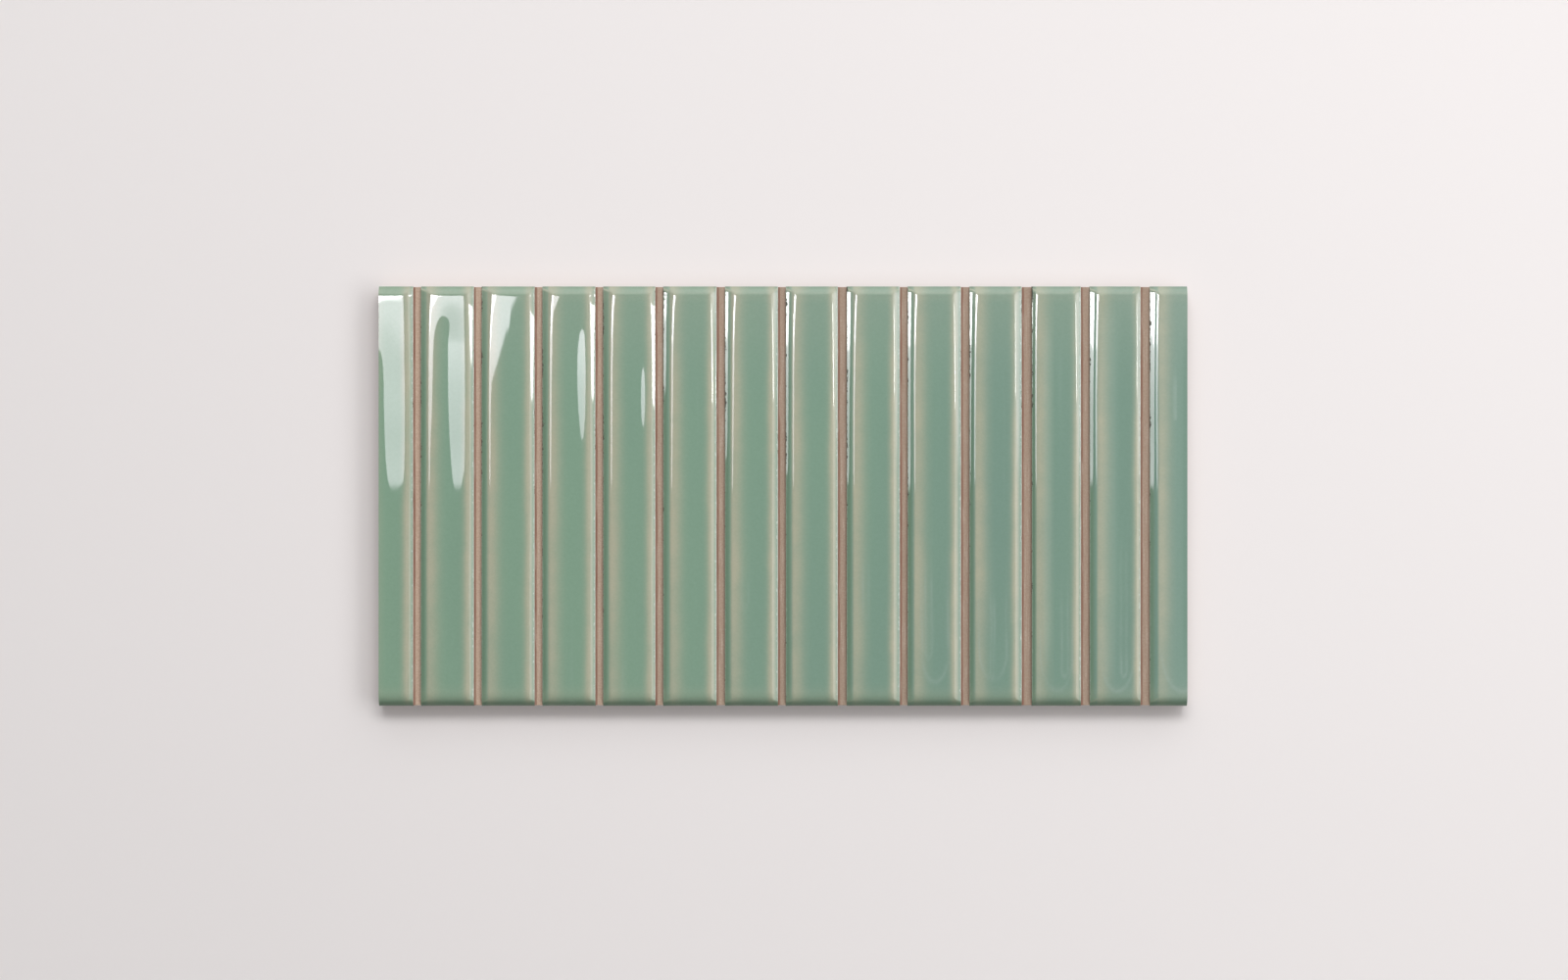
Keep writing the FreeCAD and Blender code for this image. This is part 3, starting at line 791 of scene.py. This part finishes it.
# The clay body under the bars, with the grooves' floors on top and keying ribs on the back. A channel's
# wall leans, and it has rows of points at these steps from its mouth and from its foot. Each groove's floor
# has columns that reach a little under the bars' walls, and then drops to the level under the bars.
body = {
    "floor": 7.3,
    "underBars": 6.8,
    "inset": 0.2,
    "endInset": 0.01,
    "rows": (-56.0, 56.5, 1.0),
    "floorColumns": 15,
    "floorReach": 0.02,
    "dropReach": 0.07,
    "dropStart": -0.04,
    "channels": 10,
    "channelPitch": 11.2,
    "channelWidth": 7.0,
    "channelLean": 0.5,
    "channelDepth": 0.6,
    "mouthStep": 0.12,
    "footStep": 0.1,
    "channelRound": (-0.1, 1.1),
    "chamfer": 0.35,
    "relief": 0.03,
    "reliefLevel": 0.6,
    "reliefStart": (-0.02, 0.10),
    "wornSeed": 5,
    "wornSlant": 13.0,
    "wornAlong": (2.0, 40.0),
    "wornFiner": 9.0,
    "wornAcross": (2.0, 9.0),
    "backColumns": 12,
    "sharp": 35.0,
}


# Rings along the tile's width. Their top points follow the groove floors, and their bottom points the ribs.
def makeBody(material):
    half = halfWidth - body["inset"]
    end = halfLength - body["endInset"]
    channelMiddles = (np.arange(body["channels"]) - (body["channels"] - 1) / 2.0) * body["channelPitch"]
    mouth = body["channelWidth"] / 2.0
    foot = mouth - body["channelLean"]
    edges = np.array([mouth, mouth - body["mouthStep"], foot + body["footStep"], foot])
    edges = np.concatenate([-edges, edges])
    rows = np.concatenate([
        np.arange(*body["rows"]),
        (channelMiddles[:, None] + edges[None]).ravel(),
        [-half, -half + body["chamfer"], half - body["chamfer"], half],
    ])
    rows = np.unique(np.round(rows, grid["digits"]))
    share = np.linspace(-1.0, 1.0, body["floorColumns"])
    reach = grooveWidths[:, None] / 2.0
    drop = reach + body["dropReach"]
    across = np.concatenate([-drop, share * (reach + body["floorReach"]), drop], axis=1)
    columns = np.concatenate([[-end], (grooveMiddles[:, None] + across).ravel(), [end]])
    x, y = np.meshgrid(columns, rows)
    nearest = np.abs(x[..., None] - grooveMiddles).argmin(axis=-1)
    fromGroove = x - grooveMiddles[nearest]
    fromWall = grooveWidths[nearest] / 2.0 - np.abs(fromGroove)
    alongGroove = wander(y + body["wornSlant"] * x, body["wornSeed"], *body["wornAlong"])
    acrossGroove = wander(x * body["wornFiner"], body["wornSeed"] + 1, *body["wornAcross"])
    worn = (alongGroove + acrossGroove) / 2.0
    inGroove = smooth(*body["reliefStart"], fromWall)
    z = body["floor"] + body["relief"] * (worn - body["reliefLevel"]) * inGroove
    z = np.where(fromWall < body["dropStart"], body["underBars"], z)

    # The back, with a channel's depth rising from its mouth over the lean of its wall, and chamfered long
    # edges.
    backX = end * np.linspace(1.0, -1.0, body["backColumns"])[None] * np.ones((len(rows), 1))
    fromChannel = np.abs(rows[:, None] - channelMiddles[None]).min(axis=1)
    rise = np.clip((mouth - fromChannel) / body["channelLean"], 0.0, 1.0)
    back = body["channelDepth"] * smooth(*body["channelRound"], rise) / smooth(*body["channelRound"], 1.0)
    back = np.where(fromChannel >= mouth, 0.0, back)
    back = np.maximum(back, body["chamfer"] - (half - np.abs(rows)))
    flat = np.ones_like(backX)
    ringX = np.concatenate([x, backX], axis=1)
    ringY = np.concatenate([y, y[:, :1] * flat], axis=1)
    ringZ = np.concatenate([z, back[:, None] * flat], axis=1)

    # Distances from each groove's left wall, for the clay's redder line. The ends and the back have none.
    fromLeft = np.where(fromGroove < 0.0, fromWall, grooveWidths[nearest] - fromWall)
    fromLeft[:, [0, -1]] = noWall
    shades = {"fromLeftWall": np.concatenate([fromLeft, noWall * flat], axis=1)}
    skinRings("tile_body", np.stack([ringX, ringY, ringZ], axis=-1), shades, body["sharp"], material)


print("making the clay body")
makeBody(makeClayMaterial())
print("making the glazed bars")
glazeMaterial = makeGlazeMaterial()
for k in range(row["bars"]):
    makeBar(k, glazeMaterial)

# The floor, a plain pale sheet under the tile, with a glow that only the camera sees. Reach is in metres.
floorLook = {
    "colour": (0.690, 0.658, 0.654),
    "roughness": 0.95,
    "glow": 0.10,
    "glowColour": (1.0, 0.96, 0.955),
    "reach": 2.5,
}


def makeFloor():
    mesh = bpy.data.meshes.new("floor")
    reach = floorLook["reach"]
    corners = [(-reach, -reach, 0.0), (reach, -reach, 0.0), (reach, reach, 0.0), (-reach, reach, 0.0)]
    mesh.from_pydata(corners, [], [(0, 1, 2, 3)])
    material = bpy.data.materials.new("pale_floor")
    wire = freshWire(material)
    wire.surface({
        "Base Color": (*floorLook["colour"], 1.0),
        "Roughness": floorLook["roughness"],
        "Specular IOR Level": 0.0,
        "Emission Color": wire.blend(wire.seenByCamera(), (0.0, 0.0, 0.0), floorLook["glowColour"]),
        "Emission Strength": floorLook["glow"],
    })
    mesh.materials.append(material)
    floor = bpy.data.objects.new("floor", mesh)
    bpy.context.collection.objects.link(floor)


# Studio lights. Each has its place and size in metres, its brightness and the point that it faces, or None
# to face straight down. Round is the power n of |u|^n + |v|^n = 1, the outline of its cloth, soft is how
# wide that outline fades, and fade does the same at its near and far sides alone. Shade has stops, from its
# near side at 0 to its far side, and how bright the cloth is there. Mirrored lights show in the glaze, and
# lit ones light what is matt. Two softboxes with small bright cores are what the ridges and dishes mirror,
# and the panels on the right and beyond the tile give the light and the shadows.
plainLight = {
    "aim": None, "soft": 0.20, "fade": 0.10, "mirrored": True, "lit": False,
    "tint": (1.0, 1.0, 1.0), "shade": [(0.0, 1.0), (1.0, 1.0)],
}
lights = {
    "leftSoftbox": {"at": (-0.340, 0.117, 1.2085), "size": (0.43, 0.234), "glow": 19.0,
                    "round": 3.0, "soft": 0.012, "fade": 0.06, "tint": (1.0, 0.945, 1.02),
                    "shade": [(0.06, 0.38), (0.135, 0.34), (0.255, 0.40), (0.375, 0.54), (0.485, 0.55)]},
    "leftCore": {"at": (-0.375, 0.1695, 1.2080), "size": (0.36, 0.151), "glow": 16.5,
                 "round": 4.0, "soft": 0.05, "fade": 0.01},
    "rightSoftbox": {"at": (1.250, 0.120, 1.2085), "size": (0.56, 0.226), "glow": 3.0,
                     "round": 4.0, "soft": 0.60, "tint": (1.02, 0.96, 1.05)},
    "rightCore": {"at": (0.820, 0.0925, 1.2080), "size": (0.172, 0.071), "glow": 18.0,
                  "round": 5.0, "soft": 0.12, "fade": 0.01},
    "rightPanel": {"at": (1.150, 0.000, 1.2090), "size": (1.20, 1.600), "glow": 2.9,
                   "round": 6.0, "lit": True},
    "rightStrip": {"at": (0.300, 0.000, 1.2095), "size": (0.24, 1.600), "glow": 0.65,
                   "round": 4.0, "soft": 0.45},
    "farPanel": {"at": (0.300, 1.600, 1.4000), "size": (3.40, 2.200), "glow": 1.5, "aim": (0, 0, 0),
                 "round": 6.0, "fade": 0.30, "lit": True},
    "keyPanel": {"at": (0.060, 0.640, 1.2000), "size": (0.90, 0.500), "glow": 8.5, "aim": (0, 0, 0),
                 "round": 4.0, "soft": 0.30, "mirrored": False, "lit": True},
}
# The world gives a faint fill, and is brighter where the camera sees it.
worldLook = {"colour": (1.0, 0.985, 0.98), "fill": 0.12, "seen": 0.85}


def makeLights():
    for name, changes in lights.items():
        look = {**plainLight, **changes}
        lamp = bpy.data.lights.new(name, "AREA")
        lamp.shape = "RECTANGLE"
        lamp.size, lamp.size_y = look["size"]
        lamp.energy = look["glow"] * math.pi * lamp.size * lamp.size_y
        lamp.color = look["tint"]
        cloth = freshWire(lamp)
        spot = cloth.add("ShaderNodeNewGeometry", {}, {}, "Parametric")
        across, along = [cloth.maths("ABSOLUTE", spot.axis(i) * 2.0 - 1.0) for i in (0, 1)]
        outline = across.maths("POWER", across, look["round"]) + along.maths("POWER", along, look["round"])
        inside = outline.step(1.0, (1.0 - look["soft"]) ** look["round"])
        stops = [(place, (level, level, level)) for place, level in look["shade"]]
        shade = cloth.add("ShaderNodeValToRGB", {"stops": stops}, {"Fac": spot.axis(1)})
        inputs = {"Color": shade, "Strength": inside * along.step(1.0, 1.0 - look["fade"])}
        cloth.add("ShaderNodeOutputLight", {}, {"Surface": cloth.add("ShaderNodeEmission", {}, inputs)})
        light = bpy.data.objects.new(name, lamp)
        light.location = look["at"]
        if look["aim"]:
            x, y, z = np.subtract(look["aim"], look["at"])
            light.rotation_euler = (math.atan2(y, math.hypot(x, z)), math.atan2(-x, -z), 0.0)
        light.visible_camera = False
        light.visible_glossy = look["mirrored"]
        light.visible_diffuse = look["lit"]
        bpy.context.collection.objects.link(light)


def makeWorld():
    world = bpy.data.worlds.new("studio")
    wire = freshWire(world)
    strength = wire.seenByCamera() * (worldLook["seen"] - worldLook["fill"]) + worldLook["fill"]
    inputs = {"Color": (*worldLook["colour"], 1.0), "Strength": strength}
    wire.add("ShaderNodeOutputWorld", {}, {"Surface": wire.add("ShaderNodeBackground", {}, inputs)})
    bpy.context.scene.world = world


# The camera looks straight down. Its lens makes the photograph's width 429.4 mm at the tile's face. Height
# is over the face, and all are in metres, apart from the sensor, which is in millimetres.
view = {"height": 1.1, "right": 0.00028, "far": 0.00168, "width": 0.4294, "sensor": 36.0}


def makeCamera():
    camera = bpy.data.cameras.new("camera")
    camera.sensor_width = view["sensor"]
    camera.lens = view["sensor"] * view["height"] / view["width"]
    eye = bpy.data.objects.new("camera", camera)
    eye.location = (view["right"], view["far"], bar["top"] * metre + view["height"])
    bpy.context.collection.objects.link(eye)
    bpy.context.scene.camera = eye


print("making the floor, the lights and the camera")
makeFloor()
makeLights()
makeWorld()
makeCamera()
bpy.context.scene.view_settings.view_transform = "Standard"
